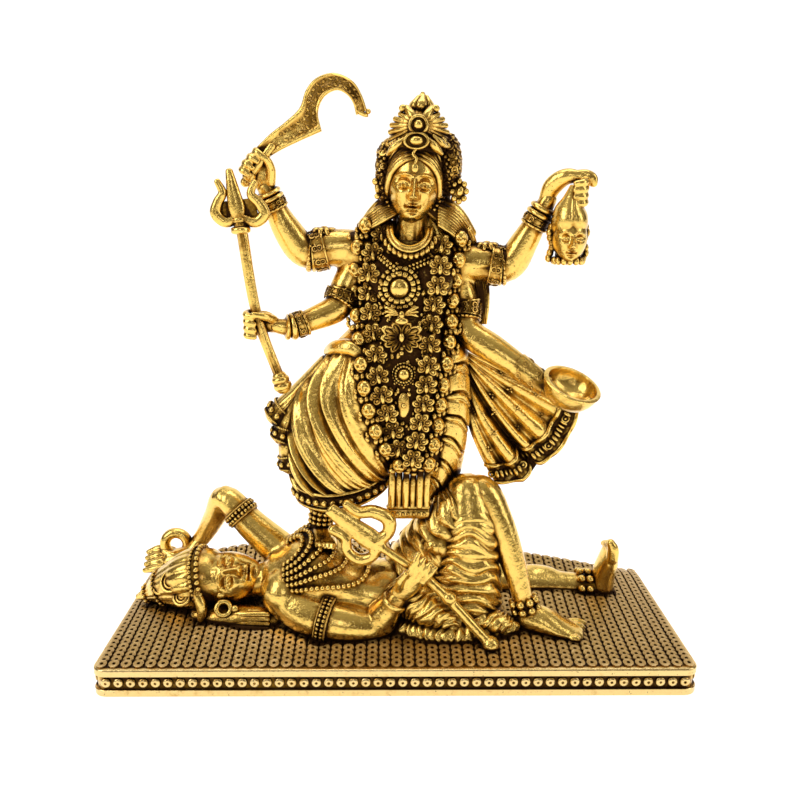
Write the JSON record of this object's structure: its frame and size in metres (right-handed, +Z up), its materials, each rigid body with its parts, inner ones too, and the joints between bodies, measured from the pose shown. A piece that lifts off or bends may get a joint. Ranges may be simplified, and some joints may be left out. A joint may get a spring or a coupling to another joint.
{
  "type": "kali figure",
  "caption": "Small gilt cast idol of a four-armed goddess standing on a reclining man, on a rectangular plinth with a bead row and a ring-patterned top.",
  "frame": {"origin": "centre of the plinth's underside", "axes": "+Z up, +X to the viewer's right, -Y towards the viewer, whom the standing figure faces"},
  "size_m": [0.153, 0.058, 0.1517],
  "materials": {
    "plinth_metal": "gilt, darkened in its pattern",
    "reclining_metal": "bright gilt, darkened in its hollows",
    "standing_metal": "bright gilt, darkened in its hollows"
  },
  "bodies": {
    "root": {"plinth": "plinth_metal", "reclining_figure": "reclining_metal", "standing_figure": "standing_metal"}
  },
  "joints": []
}
